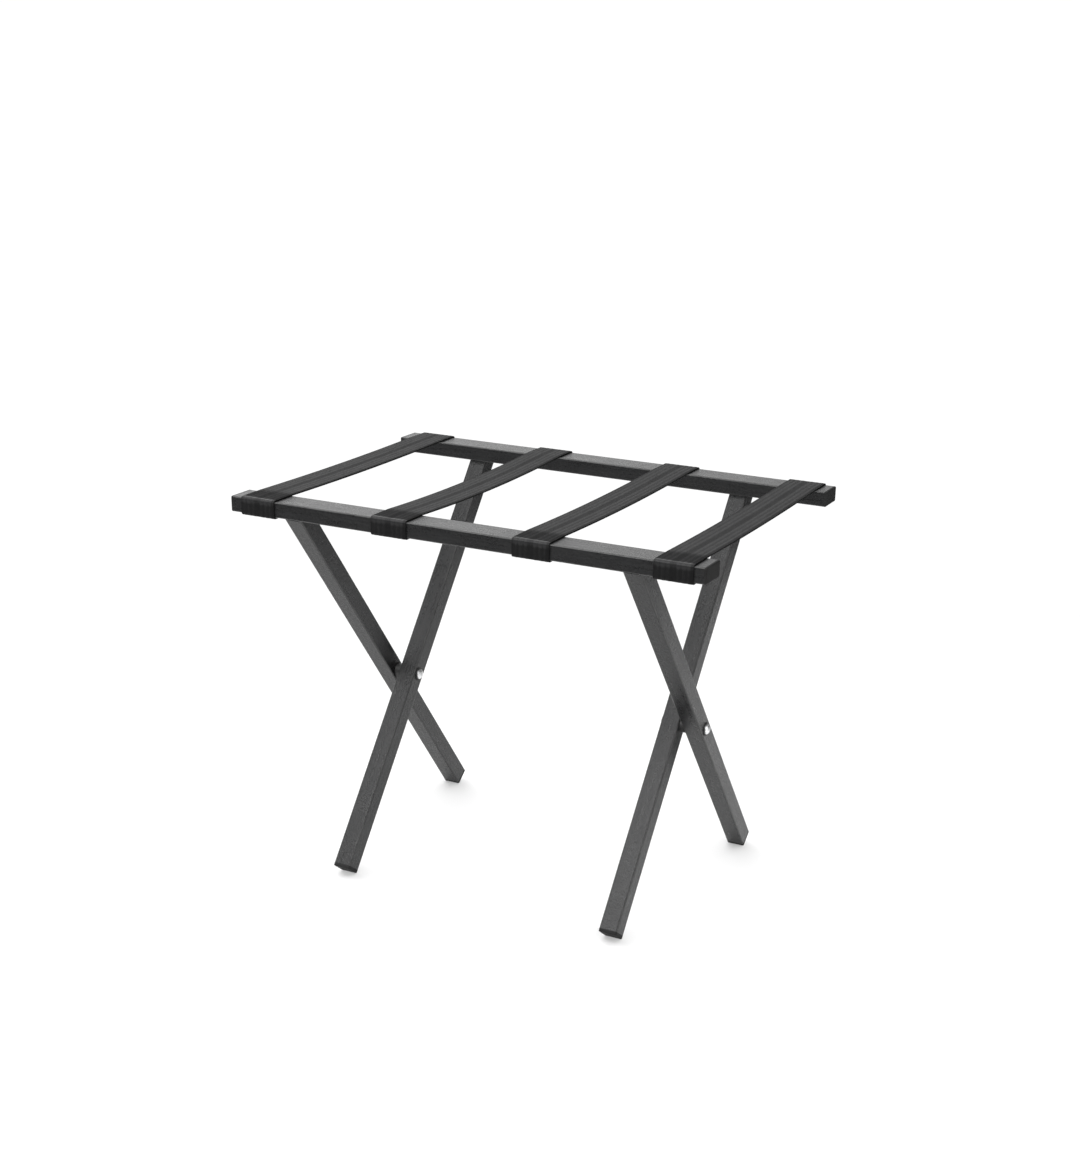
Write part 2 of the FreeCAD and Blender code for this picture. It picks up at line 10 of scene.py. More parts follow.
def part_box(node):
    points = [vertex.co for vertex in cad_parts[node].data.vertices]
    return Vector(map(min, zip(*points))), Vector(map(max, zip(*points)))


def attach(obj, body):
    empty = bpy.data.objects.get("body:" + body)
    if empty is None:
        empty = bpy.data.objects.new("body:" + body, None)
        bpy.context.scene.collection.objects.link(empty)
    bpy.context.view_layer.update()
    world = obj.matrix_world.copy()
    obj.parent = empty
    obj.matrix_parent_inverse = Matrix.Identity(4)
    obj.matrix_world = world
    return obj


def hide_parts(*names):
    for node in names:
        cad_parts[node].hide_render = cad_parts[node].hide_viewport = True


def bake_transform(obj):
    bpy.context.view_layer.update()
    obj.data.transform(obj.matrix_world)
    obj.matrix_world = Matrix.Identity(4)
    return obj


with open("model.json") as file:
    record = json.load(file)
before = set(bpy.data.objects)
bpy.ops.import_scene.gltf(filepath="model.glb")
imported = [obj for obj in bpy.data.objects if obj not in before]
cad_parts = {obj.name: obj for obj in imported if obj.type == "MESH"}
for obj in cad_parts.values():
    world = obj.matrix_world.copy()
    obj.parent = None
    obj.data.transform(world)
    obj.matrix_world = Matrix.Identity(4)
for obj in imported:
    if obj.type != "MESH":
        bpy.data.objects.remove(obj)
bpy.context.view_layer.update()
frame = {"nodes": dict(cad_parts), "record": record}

bl_info = {
    "name": "Folding luggage rack",
    "version": (1, 0, 0),
    "blender": (4, 5, 0),
    "location": "3D View > Sidebar > Luggage Rack",
    "description": "Webbing straps, weld beads, finishes and a stage for a folding luggage rack",
    "category": "Object",
}

MM = 0.001
STRAPS = (1, 2, 3, 4)
SIDES = ("front", "back")
HANDS = ("left", "right")
FRAMES = {"outer": "outer_frame", "inner": "inner_frame"}
PIVOT = Vector(frame["record"]["behaviour"]["joints"][0]["pos_m"])
# how far each frame's legs lean from the vertical, about X
LEAN = {"outer": radians(38), "inner": radians(-38)}
# a leg's outer edge to the rail's outer face, at the rail's underside
LEG_INSET = 2 * MM
# the webbing's inner bend round a rail's edge, and its reach under a rail from the outer face
BEND = 1.7 * MM
TAIL = 26 * MM
# the ribs' middles and half their width, as shares of half the webbing
RIB_CRESTS = (0.25, 0.53, 0.79)
RIB_HALF_WIDTH = 0.06
# faces along a strap: round each bend, up the rail's side, over its top, and on half the span
BEND_STEPS = 6
RISE_STEPS = 4
TOP_STEPS = 8
SPAN_STEPS = 44
# width of the camera's frame, in millimetres
SENSOR_WIDTH = 36
# strength of the white that the camera sees
SEEN_WHITE = 1.05
# towards the brightest part of what the pieces reflect: on the left, at the back
BRIGHT_SIDE = (-0.9, 0.436, 0)


# editing helpers


def select_only(obj):
    """Make obj the only selected object, and the active one."""
    bpy.ops.object.select_all(action="DESELECT")
    obj.select_set(True)
    bpy.context.view_layer.objects.active = obj


def start_edit(obj):
    """Open obj's mesh, with all of it selected."""
    select_only(obj)
    bpy.ops.object.mode_set(mode="EDIT")
    bpy.ops.mesh.select_all(action="SELECT")


def end_edit():
    """Close the open mesh."""
    bpy.ops.object.mode_set(mode="OBJECT")


def pick(test):
    """Select the vertices of the open mesh whose place passes a test, and what lies between."""
    bpy.ops.mesh.select_all(action="DESELECT")
    bpy.ops.mesh.select_mode(type="VERT")
    mesh = bpy.context.object.data
    shape = bmesh.from_edit_mesh(mesh)
    found = [vertex for vertex in shape.verts if test(vertex.co)]
    if not found:
        raise RuntimeError(f"{bpy.context.object.name}: nothing to select")
    for vertex in found:
        vertex.select_set(True)
    shape.select_flush(True)
    bmesh.update_edit_mesh(mesh)


def near(value, target, reach=0.02 * MM):
    """Whether two lengths are the same."""
    return abs(value - target) < reach


def new_grid(name, columns, rows, width, length, centre):
    """A flat grid across X and Y, left open in edit mode; its object is at the origin."""
    bpy.ops.object.select_all(action="DESELECT")
    bpy.ops.mesh.primitive_grid_add(x_subdivisions=columns, y_subdivisions=rows, size=1)
    obj = bpy.context.object
    obj.name = obj.data.name = name
    start_edit(obj)
    bpy.ops.transform.resize(value=(width, length, 1))
    bpy.ops.transform.translate(value=centre)
    return obj


def apply_modifier(obj, kind, name, **settings):
    """Add a modifier, set it and apply it."""
    select_only(obj)
    modifier = obj.modifiers.new(name, kind)
    for key, setting in settings.items():
        setattr(modifier, key, setting)
    bpy.ops.object.modifier_apply(modifier=modifier.name)


def close_seams(obj):
    """Merge the vertices that coincide, and turn every face outwards."""
    start_edit(obj)
    bpy.ops.mesh.remove_doubles(threshold=0.01 * MM)
    bpy.ops.mesh.normals_make_consistent(inside=False)
    end_edit()


def corners(obj):
    """Lowest and highest corner of an object's mesh."""
    places = [vertex.co for vertex in obj.data.vertices]
    return [Vector([end(place[axis] for place in places) for axis in range(3)]) for end in (min, max)]


# shader helpers


class Wire:
    """An output of a shader node; arithmetic on it adds Math nodes."""

    def __init__(self, finish, socket):
        self.finish = finish
        self.socket = socket

    def maths(self, operation, *values):
        """The result of a Math node."""
        return self.finish.node("Math", dict(enumerate(values)), operation=operation)

    def __add__(self, other):
        return self.maths("ADD", self, other)

    def __sub__(self, other):
        return self.maths("SUBTRACT", self, other)

    def __mul__(self, other):
        return self.maths("MULTIPLY", self, other)

    def __truediv__(self, other):
        return self.maths("DIVIDE", self, other)

    def __radd__(self, other):
        return self.maths("ADD", other, self)

    def __rsub__(self, other):
        return self.maths("SUBTRACT", other, self)

    def __abs__(self):
        return self.maths("ABSOLUTE", self)

    def sine(self):
        """The sine of an angle in radians."""
        return self.maths("SINE", self)

    def floor(self):
        """The whole number at or below it."""
        return self.maths("FLOOR", self)

    def smooth(self, low, high):
        """Zero below low, one above high, and an even rise between."""
        ends = {"Value": self, "From Min": low, "From Max": high}
        return self.finish.node("MapRange", ends, interpolation_type="SMOOTHSTEP")

    def between(self, start, full, falling, end):
        """Zero outside start and end, one from full to falling."""
        return self.smooth(start, full) * (1 - self.smooth(falling, end))


class Finish:
    """A material made of nodes round one Principled shader."""

    def __init__(self, name, **constants):
        self.material = bpy.data.materials.new(name)
        self.material.use_nodes = True
        self.tree = self.material.node_tree
        self.shader = self.tree.nodes["Principled BSDF"]
        for socket, value in constants.items():
            self.shader.inputs[socket.replace("_", " ")].default_value = value

    def node(self, kind, inputs=None, output=0, stops=None, **settings):
        """Add a node: its settings first, then its inputs; returns one of its outputs."""
        made = self.tree.nodes.new(f"ShaderNode{kind}")
        for key, setting in settings.items():
            setattr(made, key, setting)
        if stops:
            ramp = made.color_ramp
            while len(ramp.elements) < len(stops):
                ramp.elements.new(1)
            for element, (place, colour) in zip(ramp.elements, stops):
                element.position = place
                element.color = (*colour, 1)
        for key, value in (inputs or {}).items():
            self.feed(made.inputs[key], value)
        return Wire(self, made.outputs[output])

    def feed(self, socket, value):
        """Link a wire to a socket, or set the socket's own value."""
        if isinstance(value, Wire):
            self.tree.links.new(value.socket, socket)
        else:
            socket.default_value = value

    def paint(self, **inputs):
        """Feed the shader's sockets."""
        for socket, value in inputs.items():
            self.feed(self.shader.inputs[socket.replace("_", " ")], value)

    def object_place(self):
        """Object coordinates, which are the rack's own."""
        return self.node("TexCoord", output="Object")

    def split(self, place):
        """The three parts of a vector."""
        first = self.node("SeparateXYZ", {"Vector": place})
        return [Wire(self, output) for output in first.socket.node.outputs]

    def noise(self, place, scale, detail=2, roughness=0.5, stretch=None):
        """A noise pattern from 0 to 1, scale in cells to the metre."""
        if stretch:
            place = self.node("Mapping", {"Vector": place, "Scale": stretch})
        inputs = {"Vector": place, "Scale": scale, "Detail": detail, "Roughness": roughness}
        return self.node("TexNoise", inputs, output="Fac")

    def mix(self, factor, first, second):
        """A colour between two."""
        # a Mix node's colours are its inputs 6 and 7, and its output 2
        inputs = {"Factor": factor, 6: first, 7: second}
        return self.node("Mix", inputs, output=2, data_type="RGBA")

    def bump(self, height, distance, strength=1.0):
        """A bump on the shader's normal; height runs from 0 to 1 and distance is its depth."""
        inputs = {"Height": height, "Distance": distance, "Strength": strength}
        self.paint(Normal=self.node("Bump", inputs))


def grey(level, warmth=0.0):
    """A colour that is nearly neutral."""
    return (level * (1 + warmth), level, level * (1 - warmth), 1)


def give(finish, *nodes):
    """Put a finish on CAD pieces or made pieces."""
    for name in nodes:
        obj = frame["nodes"].get(name) or bpy.data.objects[name]
        obj.data.materials.clear()
        obj.data.materials.append(finish.material)


# sizes and colours that can be changed


class RackWebbing(bpy.types.PropertyGroup):
    """The straps' webbing."""

    thickness: FloatProperty(
        name="Thickness", description="Webbing's thickness", default=2 * MM, unit="LENGTH"
    )
    rib: FloatProperty(
        name="Rib", description="Height of the woven ribs", default=0.13 * MM, unit="LENGTH"
    )
    columns: IntProperty(name="Columns", description="Faces across a strap", default=50)
    dark: FloatVectorProperty(
        name="Ground", description="Colour between the ribs", default=(0.0035, 0.0035, 0.0037),
        subtype="COLOR",
    )
    light: FloatVectorProperty(
        name="Rib colour", description="Colour of the lighter ribs", default=(0.019, 0.019, 0.0196),
        subtype="COLOR",
    )


class RackSteel(bpy.types.PropertyGroup):
    """The frames' coating and welds."""

    coating: FloatVectorProperty(
        name="Coating", description="Powder coat's colour", default=(0.0098, 0.0099, 0.0103),
        subtype="COLOR",
    )
    gloss: FloatProperty(
        name="Roughness", description="Roughness of the coat", default=0.30, subtype="FACTOR"
    )
    weld: FloatProperty(
        name="Weld bead", description="Radius of the bead", default=1.3 * MM, unit="LENGTH"
    )


class RackStage(bpy.types.PropertyGroup):
    """The floor, the lights and the camera."""

    azimuth: FloatProperty(
        name="Azimuth", description="Camera's side of the rack", default=radians(26.186),
        subtype="ANGLE",
    )
    elevation: FloatProperty(
        name="Elevation", description="Camera's height as an angle", default=radians(21.608),
        subtype="ANGLE",
    )
    roll: FloatProperty(
        name="Roll", description="Camera's tilt", default=radians(1.12), subtype="ANGLE"
    )
    distance: FloatProperty(
        name="Distance", description="Camera to its aim", default=2.46183, unit="LENGTH"
    )
    aim: FloatVectorProperty(
        name="Aim", description="Point on the lens's axis", default=(0.02615, 0.04007, 0.16807),
        subtype="XYZ", unit="LENGTH",
    )
    lens: FloatProperty(
        name="Focal length", description="In millimetres on a 36 mm frame", default=55.075
    )
    shift: FloatVectorProperty(
        name="Lens shift", description="To the right and up, as shares of the frame's longer side",
        size=2, default=(-0.02363, 0.13189),
    )
    side: FloatProperty(
        name="Side light", description="Power of the soft light from the right", default=20,
        unit="POWER",
    )
    floor: FloatVectorProperty(
        name="Floor", description="Floor's colour", default=(0.81, 0.81, 0.81), subtype="COLOR"
    )
    overhead: FloatProperty(
        name="Overhead light", description="Strength of the wide light from above", default=2.3
    )
    front: FloatProperty(
        name="Front light", description="Power of the soft light from the front", default=72,
        unit="POWER",
    )


# straps


def strap_path(number):
    """Heights and depths that shape the front half of a strap, read from the frame."""
    rail_low, rail_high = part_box("front_rail")
    loop_low, loop_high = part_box(f"strap_{number}_front_loop")
    span_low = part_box(f"strap_{number}_span")[0]
    return {
        "middle": (loop_low.x + loop_high.x) / 2,
        "width": loop_high.x - loop_low.x,
        "outer": rail_low.y,
        "inner": rail_high.y,
        "under": rail_low.z,
        "top": rail_high.z,
        "tail": rail_low.y + TAIL,
        "sag": rail_high.z - span_low.z,
    }


def strap_half(name, size, columns):
    """The front half of a strap as a sheet on the rail's surface, from its tail to the middle."""
    middle = size["middle"]
    tail_start = size["outer"] + BEND
    obj = new_grid(
        name, columns, 4, size["width"], size["tail"] - tail_start,
        (middle, (size["tail"] + tail_start) / 2, size["under"]),
    )
    pick(lambda at: near(at.y, tail_start))
    bpy.ops.mesh.spin(
        steps=BEND_STEPS, angle=pi / 2, center=(middle, tail_start, size["under"] + BEND),
        axis=(1, 0, 0),
    )
    rise = (size["top"] - size["under"] - 2 * BEND) / RISE_STEPS
    for _ in range(RISE_STEPS):
        bpy.ops.mesh.extrude_region_move(TRANSFORM_OT_translate={"value": (0, 0, rise)})
    bpy.ops.mesh.spin(
        steps=BEND_STEPS, angle=pi / 2, center=(middle, tail_start, size["top"] - BEND),
        axis=(1, 0, 0),
    )
    run = (size["inner"] - tail_start) / TOP_STEPS
    for _ in range(TOP_STEPS):
        bpy.ops.mesh.extrude_region_move(TRANSFORM_OT_translate={"value": (0, run, 0)})
    # the span hangs as an arc through both rails' inner edges
    radius = (size["inner"] ** 2 + size["sag"] ** 2) / (2 * size["sag"])
    bpy.ops.mesh.spin(
        steps=SPAN_STEPS, angle=asin(size["inner"] / radius),
        center=(middle, 0, size["top"] - size["sag"] + radius), axis=(1, 0, 0),
    )
    # the middle row goes exactly to Y = 0, where the other half meets it
    pick(lambda at: near(at.y, 0, 0.2 * MM))
    bpy.ops.transform.resize(value=(1, 0, 1), center_override=(middle, 0, 0))
    end_edit()
    return obj


def map_along(obj, middle):
    """Give the sheet a UV map in metres: across from its middle, and along from the front tail.

    Returns the sheet's length.
    """

    def station(at):
        return round(at.y, 6), round(at.z, 6)

    shape = bmesh.new()
    shape.from_mesh(obj.data)
    edge = min(vertex.co.x for vertex in shape.verts)
    at_edge = {vertex for vertex in shape.verts if near(vertex.co.x, edge)}
    ends = [v for v in at_edge if sum(e.other_vert(v) in at_edge for e in v.link_edges) == 1]
    current, before, travelled = min(ends, key=lambda vertex: vertex.co.y), None, 0.0
    along = {}
    while current:
        along[station(current.co)] = travelled
        steps = [e.other_vert(current) for e in current.link_edges]
        following = [v for v in steps if v in at_edge and v is not before]
        if not following:
            break
        travelled += (following[0].co - current.co).length
        before, current = current, following[0]
    layer = shape.loops.layers.uv.new("Along")
    for face in shape.faces:
        for loop in face.loops:
            at = loop.vert.co
            loop[layer].uv = (at.x - middle, along[station(at)])
    shape.to_mesh(obj.data)
    shape.free()
    return travelled


def on_rib(across, half):
    """Whether a place across the webbing is on one of its thicker ribs."""
    return any(abs(abs(across) / half - crest) < RIB_HALF_WIDTH for crest in RIB_CRESTS)


def make_strap(number, settings):
    """One strap: a sheet over both rails, thickened outwards, with ribs and soft edges."""
    name = f"strap_{number}"
    size = strap_path(number)
    obj = strap_half(name, size, settings.columns)
    apply_modifier(
        obj, "MIRROR", "Both halves", use_axis=(False, True, False), merge_threshold=0.02 * MM
    )
    close_seams(obj)
    top_face = max(obj.data.polygons, key=lambda face: face.center.z)
    if top_face.normal.z < 0:
        start_edit(obj)
        bpy.ops.mesh.flip_normals()
        end_edit()
    length = map_along(obj, size["middle"])
    start_edit(obj)
    pick(lambda at: on_rib(at.x - size["middle"], size["width"] / 2))
    bpy.ops.transform.shrink_fatten(value=settings.rib)
    end_edit()
    apply_modifier(
        obj, "SOLIDIFY", "Webbing", thickness=settings.thickness, offset=1,
        use_even_offset=True, use_quality_normals=True,
    )
    apply_modifier(
        obj, "BEVEL", "Soft selvedges", width=0.45 * MM, segments=2, limit_method="ANGLE",
        angle_limit=radians(60),
    )
    select_only(obj)
    bpy.ops.object.shade_smooth_by_angle(angle=radians(50))
    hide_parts(f"{name}_front_loop", f"{name}_span", f"{name}_back_loop")
    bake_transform(obj)
    return obj


def webbing_finish(settings):
    """Black webbing: lengthwise ribs, fine picks and a dark middle; painted shade on its right edge,
    on its part down the front rail's front face and over that rail's top, and a painted highlight on
    the bend between.
    """
    finish = Finish("webbing", Specular_IOR_Level=0.2)
    place = finish.node("UVMap", uv_map="Along")
    across, along, _ = finish.split(place)
    low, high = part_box("strap_1_front_loop")
    half = (high.x - low.x) / 2
    warp_pitch, weft_pitch = 1.5 * MM, 1.7 * MM
    warp = (across * (2 * pi / warp_pitch)).sine()
    every_other = (across / warp_pitch).floor() * pi
    weft = (along * (2 * pi / weft_pitch) + every_other).sine()
    weave = warp * 0.5 + weft * 0.5
    bands = finish.node(
        "ValToRGB", {"Fac": abs(across) / half}, output="Color",
        stops=[
            (0.0, (0.05,) * 3), (0.13, (0.12,) * 3), (0.21, (0.90,) * 3), (0.29, (0.85,) * 3),
            (0.38, (0.35,) * 3), (0.48, (0.90,) * 3), (0.57, (0.82,) * 3), (0.66, (0.30,) * 3),
            (0.75, (0.95,) * 3), (0.83, (0.65,) * 3), (0.90, (0.16,) * 3), (1.0, (0.02,) * 3),
        ],
    )
    wear = finish.noise(place, 70, detail=4, roughness=0.75, stretch=(1.0, 0.3, 1.0))
    threads = finish.noise(place, 620, detail=3, roughness=0.7, stretch=(1.0, 0.3, 1.0))
    # lengths from the front tail: painted shade over the rail's top, a painted highlight on its front
    # bend, and painted shade on its front face
    top_shade = along.between(46 * MM, 52 * MM, 74 * MM, 92 * MM)
    wear_and_highlight = along.between(40 * MM, 43.5 * MM, 46.5 * MM, 49 * MM)
    front_face_shade = along.between(24 * MM, 28 * MM, 38 * MM, 41 * MM)
    # painted shade: only the right edge, on the +X side, is darkened, standing in for the shadow
    # along the strap's right side
    right_edge_shade = (across / half).smooth(0.80, 0.88)
    level = (
        bands * 0.7 + 0.06 + weave * 0.12 + (wear - 0.5) * 0.7 + (threads - 0.5) * 0.9
        + wear_and_highlight * 0.35 - top_shade * 0.3 - front_face_shade * 0.5 - right_edge_shade * 0.4
    )
    colour = finish.mix(level.smooth(0.0, 1.0), (*settings.dark, 1), (*settings.light, 1))
    finish.paint(Base_Color=colour, Roughness=0.77 - level * 0.16 + top_shade * 0.2 - wear_and_highlight * 0.25)
    finish.bump(weave * 0.4 + threads * 0.6 + 0.5, 0.2 * MM)
    return finish


class RACK_OT_straps(bpy.types.Operator):
    """Make the four webbing straps over the rails"""

    bl_idname = "rack.straps"
    bl_label = "Webbing straps"

    def execute(self, context):
        settings = context.scene.rack_webbing
        finish = webbing_finish(settings)
        for number in STRAPS:
            obj = make_strap(number, settings)
            give(finish, obj.name)
            low, high = corners(obj)
            cad_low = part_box(f"strap_{number}_front_loop")[0]
            cad_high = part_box(f"strap_{number}_back_loop")[1]
            reach = max((high - cad_high).length, (low - cad_low).length)
            if reach > 0.5 * MM:
                raise RuntimeError(f"strap {number} leaves its CAD shape by {reach / MM:.2f} mm")
        return {"FINISHED"}


# frames: welds and coating


def weld_bead(name, leg, radius):
    """A bead round a leg's top, where it is welded to the rail's underside."""
    low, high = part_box(leg)
    width = high.x - low.x
    depth = width / cos(LEAN["outer"])
    facing = -1 if leg.startswith("outer") else 1
    top_edge = facing * (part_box("back_rail")[1].y - LEG_INSET)
    centre = Vector(((low.x + high.x) / 2, top_edge - facing * depth / 2, high.z))
    obj = new_grid(name, 3, 3, width, depth, centre)
    # without its faces and its middle vertices, the grid is the outline of the leg's cut end
    bpy.ops.mesh.delete(type="ONLY_FACE")
    pick(lambda at: abs(at.x - centre.x) < width / 4 and abs(at.y - centre.y) < depth / 4)
    bpy.ops.mesh.delete(type="VERT")
    end_edit()
    bpy.ops.object.convert(target="CURVE")
    obj = bpy.context.object
    obj.data.bevel_depth = radius
    obj.data.bevel_resolution = 4
    bpy.ops.object.convert(target="MESH")
    obj = bpy.context.object
    obj.name = obj.data.name = name
    close_seams(obj)
    apply_modifier(obj, "SUBSURF", "Soft bead", levels=2, render_levels=2)
    select_only(obj)
    bpy.ops.object.shade_smooth()
    return obj


class RACK_OT_weld_beads(bpy.types.Operator):
    """Make the weld beads round the tops of the four legs"""

    bl_idname = "rack.weld_beads"
    bl_label = "Weld beads"

    def execute(self, context):
        radius = context.scene.rack_steel.weld
        for frame_word, body in FRAMES.items():
            for hand in HANDS:
                leg = f"{frame_word}_{hand}_leg"
                obj = weld_bead(f"{leg}_weld", leg, radius)
                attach(obj, body)
        return {"FINISHED"}


def coated(name, settings, centre, turn, halves, along_axis):
    """Satin powder coat on a tube: orange peel, faint streaks along it, patches of wear on its edges,
    and its edges painted lighter evenly, a painted highlight.

    centre and turn bring the tube to the origin and its length onto along_axis; halves are half
    its sizes across the other two axes.
    """
    finish = Finish(name, Specular_IOR_Level=0.30)
    raw = finish.object_place()
    moved = finish.node("Mapping", {"Vector": raw, "Location": centre}, vector_type="POINT")
    place = finish.node("Mapping", {"Vector": moved, "Rotation": turn}, vector_type="POINT")
    cross = [axis for index, axis in enumerate(finish.split(place)) if index != along_axis]
    stretch = [1.0, 1.0, 1.0]
    stretch[along_axis] = 0.03
    peel = finish.noise(raw, 260, detail=4, roughness=0.75)
    fine = finish.noise(raw, 700, detail=3, roughness=0.7)
    streaks = finish.noise(place, 260, detail=3, roughness=0.65, stretch=stretch)
    clouds = finish.noise(raw, 26, detail=3, roughness=0.6)
    # both cross axes are near their ends on the tube's edges, where the colour is painted lighter:
    # evenly, as a painted highlight that hides the dark line the rounded corners render, and more in
    # patches of wear
    first, second = (
        abs(axis).smooth(half - 1.6 * MM, half - 0.7 * MM) for axis, half in zip(cross, halves)
    )
    edge = first * second
    wear_and_highlight = edge * clouds.smooth(0.42, 0.62) * fine.smooth(0.35, 0.6)
    base = Vector(settings.coating)
    tone = (streaks - 0.5) * 0.8 + (clouds - 0.5) * 0.5 + (fine - 0.5) * 0.9
    colour = finish.mix(
        (tone + 0.5).smooth(0.0, 1.0), (*(base * 0.55), 1), (*(base * 1.6), 1)
    )
    # painted highlight: every edge lighter evenly, plus the patches of wear
    colour = finish.mix(edge * 0.3 + wear_and_highlight * 0.3, colour, (0.12, 0.12, 0.118, 1))
    rough = (
        settings.gloss + (streaks - 0.5) * 0.22 + (clouds - 0.5) * 0.16 + (peel - 0.5) * 0.22
        + wear_and_highlight * 0.1
    )
    finish.paint(Base_Color=colour, Roughness=rough)
    finish.bump(peel * 0.55 + fine * 0.25 + streaks * 0.2, 0.8 * MM)
    return finish


class RACK_OT_coating(bpy.types.Operator):
    """Put the satin powder coat on the rails, the legs and the welds"""

    bl_idname = "rack.coating"
    bl_label = "Frame coating"

    def execute(self, context):
        settings = context.scene.rack_steel
        for word in SIDES:
            low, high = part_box(f"{word}_rail")
            middle, half = (low + high) / 2, (high - low) / 2
            finish = coated(
                f"coating_{word}_rail", settings, -middle, (0, 0, 0), (half.y, half.z), 0
            )
            give(finish, f"{word}_rail")
        for frame_word, lean in LEAN.items():
            for hand in HANDS:
                leg = f"{frame_word}_{hand}_leg"
                low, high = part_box(leg)
                half = (high.x - low.x) / 2
                centre = (-(low.x + high.x) / 2, 0, -PIVOT.z)
                finish = coated(
                    f"coating_{leg}", settings, centre, (-lean, 0, 0), (half, half), 2
                )
                give(finish, leg, f"{leg}_weld")
        return {"FINISHED"}


# plugs


class RACK_OT_plugs(bpy.types.Operator):
    """Put moulded plastic on the rail plugs and the foot plugs"""

    bl_idname = "rack.plugs"
    bl_label = "Plugs"

    def execute(self, context):
        finish = Finish("moulded_plastic", Specular_IOR_Level=0.08)
        place = finish.object_place()
        grain = finish.node(
            "TexVoronoi", {"Vector": place, "Scale": 1500}, output="Distance"
        )
        clouds = finish.noise(place, 90, detail=4, roughness=0.65)
        scuffs = finish.noise(place, 900, detail=3, stretch=(1.0, 0.2, 1.0)).smooth(0.58, 0.72)
        low = 1 - finish.split(place)[2].smooth(0.0, 6 * MM)
        shade = clouds * 0.7 + grain * 0.3
        colour = finish.mix(shade.smooth(0.2, 0.8), grey(0.013), grey(0.026))
        # painted shade: the bottom 6 mm of the foot plugs, next to the floor, is painted darker
        colour = finish.mix(low * 0.8, colour, grey(0.006))
        colour = finish.mix(scuffs * (0.2 + low * 0.1), colour, grey(0.045))
        finish.paint(Base_Color=colour, Roughness=0.62 + (clouds - 0.5) * 0.2 + scuffs * 0.12)
        finish.bump(grain, 0.06 * MM, 0.6)
        plugs = [f"{word}_rail_{hand}_plug" for word in SIDES for hand in HANDS]
        plugs += [f"{word}_{hand}_foot_plug" for word in FRAMES for hand in HANDS]
        give(finish, *plugs)
        return {"FINISHED"}


# pivots and screws


def from_pivot(finish):
    """Places measured from the pivots' axis, and their distance from it."""
    centred = finish.node("Mapping", {"Vector": finish.object_place(), "Location": -PIVOT})
    flat = finish.node("Mapping", {"Vector": centred, "Scale": (0, 1, 1)})
    radius = finish.node("VectorMath", {0: flat}, output="Value", operation="LENGTH")
    return centred, radius


class RACK_OT_pivots(bpy.types.Operator):
    """Put bright zinc on the pivots' screws and sleeve nuts, and nylon on their washers"""

    bl_idname = "rack.pivots"
    bl_label = "Pivots"

    def execute(self, context):
        zinc = Finish("bright_zinc", Metallic=1.0)
        place, radius = from_pivot(zinc)
        rings = (radius * (2 * pi / (0.55 * MM))).sine() * 0.5 + 0.5
        clouds = zinc.noise(place, 260, detail=4, roughness=0.6)
        fine = zinc.noise(place, 2600, detail=2)
        # painted shade: the zinc is darker beyond 6.2 mm from the pivots' axis, round the rims of the
        # heads
        rim_shade = radius.smooth(6.2 * MM, 7.0 * MM)
        shade = clouds * 0.7 + fine * 0.3
        colour = zinc.mix(shade.smooth(0.25, 0.75), (0.72, 0.73, 0.75, 1), (0.93, 0.93, 0.92, 1))
        colour = zinc.mix(rim_shade * 0.35, colour, (0.30, 0.30, 0.31, 1))
        zinc.paint(Base_Color=colour, Roughness=0.30 + clouds * 0.14 + rings * 0.04)
        zinc.bump(rings * 0.4 + fine * 0.6, 0.03 * MM, 0.5)
        nylon = Finish("black_nylon", Specular_IOR_Level=0.4)
        place, radius = from_pivot(nylon)
        grain = nylon.noise(place, 1800, detail=2)
        swirl = nylon.noise(place, 140, detail=3)
        colour = nylon.mix(swirl.smooth(0.3, 0.7), grey(0.012), grey(0.028))
        nylon.paint(Base_Color=colour, Roughness=0.42 + grain * 0.16)
        nylon.bump(grain, 0.05 * MM, 0.5)
        for hand in HANDS:
            give(zinc, f"{hand}_pivot_screw", f"{hand}_pivot_sleeve_nut")
            give(nylon, f"{hand}_outer_washer", f"{hand}_pivot_spacer", f"{hand}_inner_washer")
        return {"FINISHED"}


class RACK_OT_strap_screws(bpy.types.Operator):
    """Put blackened steel on the screws under the rails"""

    bl_idname = "rack.strap_screws"
    bl_label = "Strap screws"

    def execute(self, context):
        finish = Finish("blackened_steel", Metallic=0.85)
        place = finish.object_place()
        clouds = finish.noise(place, 380, detail=4, roughness=0.65)
        fine = finish.noise(place, 2400, detail=2)
        rubbed = (clouds * 0.6 + fine * 0.4).smooth(0.52, 0.66)
        colour = finish.mix(rubbed, grey(0.035), grey(0.16, 0.03))
        finish.paint(Base_Color=colour, Roughness=0.34 + clouds * 0.25)
        finish.bump(fine * 0.5 + clouds * 0.5, 0.04 * MM, 0.6)
        give(finish, *(f"{word}_strap_screws" for word in SIDES))
        return {"FINISHED"}


# stage


def soft_light(name, size, place, aim, power, shape_y=None, shadow=True):
    """A large area light that faces a point."""
    bpy.ops.object.light_add(type="AREA", location=place)
    light = bpy.context.object
    light.name = name
    light.data.shape = "RECTANGLE"
    light.data.size = size
    light.data.size_y = shape_y or size
    light.data.energy = power
    light.data.use_shadow = shadow
    direction = Vector(aim) - Vector(place)
    light.rotation_mode = "QUATERNION"
    light.rotation_quaternion = direction.to_track_quat("-Z", "Y")


